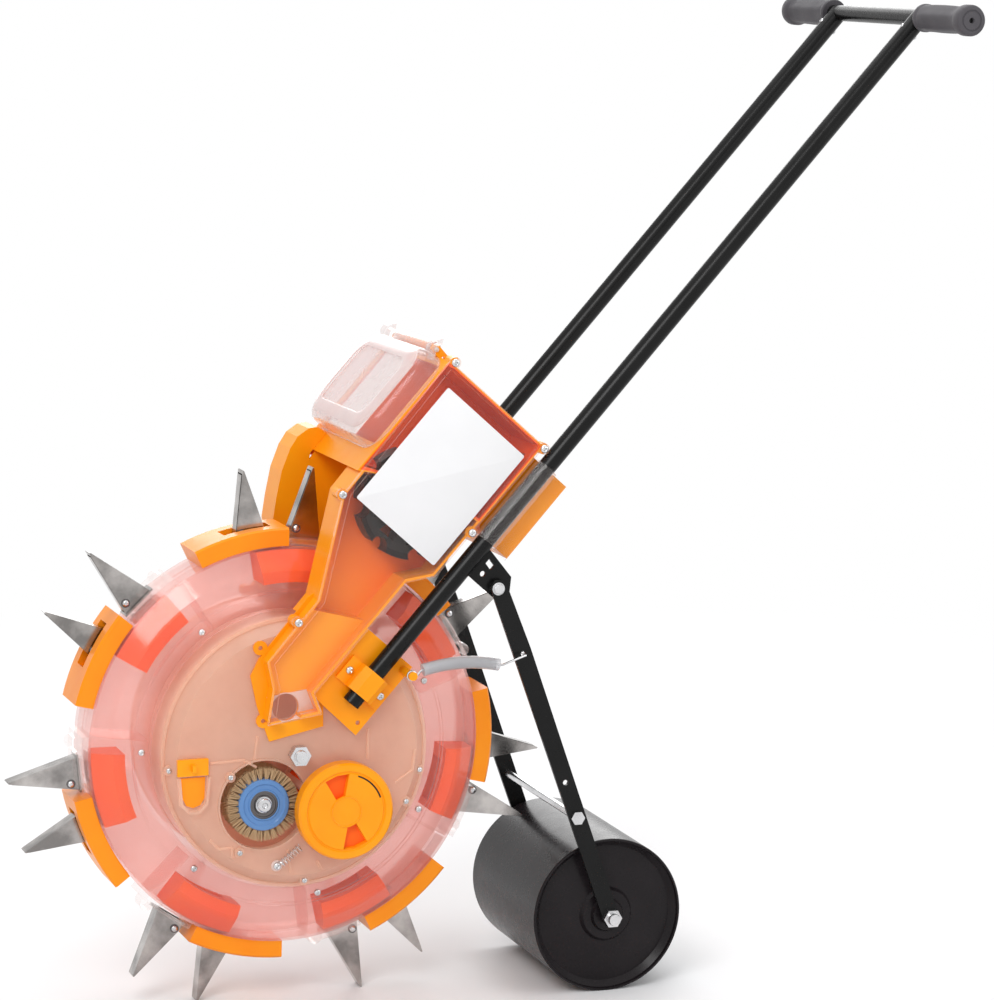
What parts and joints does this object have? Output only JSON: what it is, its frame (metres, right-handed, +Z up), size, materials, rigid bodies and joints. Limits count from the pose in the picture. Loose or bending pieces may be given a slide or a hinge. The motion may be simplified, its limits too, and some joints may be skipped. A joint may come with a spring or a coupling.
{
  "type": "wheel seeder",
  "caption": "Walk-behind duckbill wheel seeder with a divided hopper, a clear rotating drum with hinged steel beaks, push rods and a sprung press roller.",
  "frame": {"origin": "on the ground under the middle of the machine's overall length and width", "axes": "+Z up, -X the way the machine is pushed, +X towards the handle, -Y the machine's left side"},
  "size_m": [0.9638, 0.446, 1.0277],
  "materials": {
    "orange": "moulded, slightly glossy",
    "clear": "clear, glossy",
    "frosted": "frosted, satin",
    "black_steel": "semi-gloss",
    "steel": "satin",
    "bright_steel": "polished",
    "black_plastic": "matt",
    "rubber": "matt",
    "bristle": "fibrous",
    "roller_coat": "satin",
    "sleeve": "translucent sleeve over a coil"
  },
  "bodies": {
    "frame": {"hopper_body": "orange", "near_chute": "orange", "far_chute": "orange", "near_panel": "clear", "far_panel": "clear", "rod_clamps": "clear", "rod_saddles": "orange", "near_rod": "black_steel", "far_rod": "black_steel", "handle_bar": "black_steel", "handle_grips": "rubber", "arm_brackets": "black_steel", "axle": "steel", "axle_nuts": "steel", "near_chamber": "frosted", "far_chamber": "frosted", "near_chamber_cover": "frosted", "far_chamber_cover": "frosted", "case_screws": "steel", "lid_hinge_pin": "steel", "brush_bolts": "steel", "press_springs": "sleeve"},
    "lid": {"hopper_lid": "clear"},
    "wheel": {"near_drum_half": "clear", "far_drum_half": "clear", "drum_hub": "frosted", "wheel_bearings": "steel", "orange_seats": "orange", "clear_seats": "clear", "fixed_beaks": "bright_steel", "jaw_pins": "steel", "inner_chutes": "orange", "drum_screws": "steel"},
    "near_roller": {"near_metering_roller": "orange", "near_roller_gear": "black_plastic"},
    "near_brush": {"near_brush_wheel": "bristle"},
    "near_cap": {"near_roller_cap": "orange"},
    "far_roller": {"far_metering_roller": "orange", "far_roller_gear": "black_plastic"},
    "far_brush": {"far_brush_wheel": "bristle"},
    "far_cap": {"far_roller_cap": "orange"},
    "seed_jaw_1": {"seed_jaw_1": "bright_steel"},
    "feed_jaw_1": {"feed_jaw_1": "bright_steel"},
    "seed_jaw_2": {"seed_jaw_2": "bright_steel"},
    "feed_jaw_2": {"feed_jaw_2": "bright_steel"},
    "seed_jaw_3": {"seed_jaw_3": "bright_steel"},
    "feed_jaw_3": {"feed_jaw_3": "bright_steel"},
    "seed_jaw_4": {"seed_jaw_4": "bright_steel"},
    "feed_jaw_4": {"feed_jaw_4": "bright_steel"},
    "seed_jaw_5": {"seed_jaw_5": "bright_steel"},
    "feed_jaw_5": {"feed_jaw_5": "bright_steel"},
    "seed_jaw_6": {"seed_jaw_6": "bright_steel"},
    "feed_jaw_6": {"feed_jaw_6": "bright_steel"},
    "seed_jaw_7": {"seed_jaw_7": "bright_steel"},
    "feed_jaw_7": {"feed_jaw_7": "bright_steel"},
    "press_frame": {"press_arms": "black_steel", "press_crossbars": "steel"},
    "press_roller": {"press_roller": "roller_coat"},
    "rotor": {"feed_rotor": "black_plastic"},
    "plug": {"cleanout_plug": "orange"}
  },
  "joints": [
    {"name": "lid_hinge", "type": "hinge", "parent": "frame", "child": "lid", "pos_m": [-0.04832, 0, 0.67761], "axis": [0, 1, 0], "range_deg": [0, 110]},
    {"name": "wheel_spin", "type": "hinge", "parent": "frame", "child": "wheel", "pos_m": [-0.19815, 0, 0.27072], "axis": [0, -1, 0], "continuous": true},
    {"name": "near_roller_spin", "type": "hinge", "parent": "frame", "child": "near_roller", "pos_m": [-0.15442, -0.05, 0.21352], "axis": [0, -1, 0], "continuous": true},
    {"name": "near_brush_spin", "type": "hinge", "parent": "frame", "child": "near_brush", "pos_m": [-0.23475, -0.06, 0.22122], "axis": [0, -1, 0], "continuous": true},
    {"name": "near_cap_twist", "type": "hinge", "parent": "frame", "child": "near_cap", "pos_m": [-0.15442, -0.096, 0.21352], "axis": [0, -1, 0], "range_deg": [0, 40]},
    {"name": "far_roller_spin", "type": "hinge", "parent": "frame", "child": "far_roller", "pos_m": [-0.15442, 0.05, 0.21352], "axis": [0, -1, 0], "continuous": true},
    {"name": "far_brush_spin", "type": "hinge", "parent": "frame", "child": "far_brush", "pos_m": [-0.23475, 0.06, 0.22122], "axis": [0, -1, 0], "continuous": true},
    {"name": "far_cap_twist", "type": "hinge", "parent": "frame", "child": "far_cap", "pos_m": [-0.15442, 0.096, 0.21352], "axis": [0, 1, 0], "range_deg": [0, 40]},
    {"name": "seed_jaw_1_hinge", "type": "hinge", "parent": "wheel", "child": "seed_jaw_1", "pos_m": [-0.1191, 0, 0.06407], "axis": [0, -1, 0], "range_deg": [0, 18], "stiffness_Nm_per_rad": 0.06, "springref_deg": -20.05},
    {"name": "feed_jaw_1_hinge", "type": "hinge", "parent": "wheel", "child": "feed_jaw_1", "pos_m": [-0.06831, 0, 0.09158], "axis": [0, -1, 0], "range_deg": [0, 18], "stiffness_Nm_per_rad": 0.06, "springref_deg": -20.05},
    {"name": "seed_jaw_2_hinge", "type": "hinge", "parent": "wheel", "child": "seed_jaw_2", "pos_m": [0.0127, 0, 0.20369], "axis": [0, -1, 0], "range_deg": [0, 18], "stiffness_Nm_per_rad": 0.06, "springref_deg": -20.05},
    {"name": "feed_jaw_2_hinge", "type": "hinge", "parent": "wheel", "child": "feed_jaw_2", "pos_m": [0.02286, 0, 0.26054], "axis": [0, -1, 0], "range_deg": [0, 18], "stiffness_Nm_per_rad": 0.06, "springref_deg": -20.05},
    {"name": "seed_jaw_3_hinge", "type": "hinge", "parent": "wheel", "child": "seed_jaw_3", "pos_m": [-0.01428, 0, 0.39377], "axis": [0, -1, 0], "range_deg": [0, 18], "stiffness_Nm_per_rad": 0.06, "springref_deg": -20.05},
    {"name": "feed_jaw_3_hinge", "type": "hinge", "parent": "wheel", "child": "feed_jaw_3", "pos_m": [-0.05239, 0, 0.43717], "axis": [0, -1, 0], "range_deg": [0, 18], "stiffness_Nm_per_rad": 0.06, "springref_deg": -20.05},
    {"name": "seed_jaw_4_hinge", "type": "hinge", "parent": "wheel", "child": "seed_jaw_4", "pos_m": [-0.17971, 0, 0.4912], "axis": [0, -1, 0], "range_deg": [0, 18], "stiffness_Nm_per_rad": 0.06, "springref_deg": -20.05},
    {"name": "feed_jaw_4_hinge", "type": "hinge", "parent": "wheel", "child": "feed_jaw_4", "pos_m": [-0.23741, 0, 0.48846], "axis": [0, -1, 0], "range_deg": [0, 18], "stiffness_Nm_per_rad": 0.06, "springref_deg": -20.05},
    {"name": "seed_jaw_5_hinge", "type": "hinge", "parent": "wheel", "child": "seed_jaw_5", "pos_m": [-0.35903, 0, 0.4226], "axis": [0, -1, 0], "range_deg": [0, 18], "stiffness_Nm_per_rad": 0.06, "springref_deg": -20.05},
    {"name": "feed_jaw_5_hinge", "type": "hinge", "parent": "wheel", "child": "feed_jaw_5", "pos_m": [-0.39286, 0, 0.37579], "axis": [0, -1, 0], "range_deg": [0, 18], "stiffness_Nm_per_rad": 0.06, "springref_deg": -20.05},
    {"name": "seed_jaw_6_hinge", "type": "hinge", "parent": "wheel", "child": "seed_jaw_6", "pos_m": [-0.4172, 0, 0.23963], "axis": [0, -1, 0], "range_deg": [0, 18], "stiffness_Nm_per_rad": 0.06, "springref_deg": -20.05},
    {"name": "feed_jaw_6_hinge", "type": "hinge", "parent": "wheel", "child": "feed_jaw_6", "pos_m": [-0.40169, 0, 0.184], "axis": [0, -1, 0], "range_deg": [0, 18], "stiffness_Nm_per_rad": 0.06, "springref_deg": -20.05},
    {"name": "seed_jaw_7_hinge", "type": "hinge", "parent": "wheel", "child": "seed_jaw_7", "pos_m": [-0.31042, 0, 0.08007], "axis": [0, -1, 0], "range_deg": [0, 18], "stiffness_Nm_per_rad": 0.06, "springref_deg": -20.05},
    {"name": "feed_jaw_7_hinge", "type": "hinge", "parent": "wheel", "child": "feed_jaw_7", "pos_m": [-0.25725, 0, 0.05751], "axis": [0, -1, 0], "range_deg": [0, 18], "stiffness_Nm_per_rad": 0.06, "springref_deg": -20.05},
    {"name": "press_arm_swing", "type": "hinge", "parent": "frame", "child": "press_frame", "pos_m": [0.00485, 0, 0.43602], "axis": [0, -1, 0], "range_deg": [0, 25], "stiffness_Nm_per_rad": 12, "springref_deg": -34.38, "deforming": ["press_springs"]},
    {"name": "press_roller_spin", "type": "hinge", "parent": "press_frame", "child": "press_roller", "pos_m": [0.13205, 0, 0.0814], "axis": [0, -1, 0], "continuous": true},
    {"name": "feed_rotor_spin", "type": "hinge", "parent": "frame", "child": "rotor", "pos_m": [-0.07885, -0.078, 0.52368], "axis": [0, -1, 0], "continuous": true},
    {"name": "cleanout_plug_pull", "type": "slide", "parent": "frame", "child": "plug", "axis": [0, -1, 0], "range_m": [0, 0.02]}
  ],
  "couplings": [
    {"joint": "near_roller_spin", "follows": "wheel_spin", "ratio": -1},
    {"joint": "near_brush_spin", "follows": "wheel_spin", "ratio": 1.0921},
    {"joint": "far_roller_spin", "follows": "wheel_spin", "ratio": -1},
    {"joint": "far_brush_spin", "follows": "wheel_spin", "ratio": 1.0921}
  ]
}
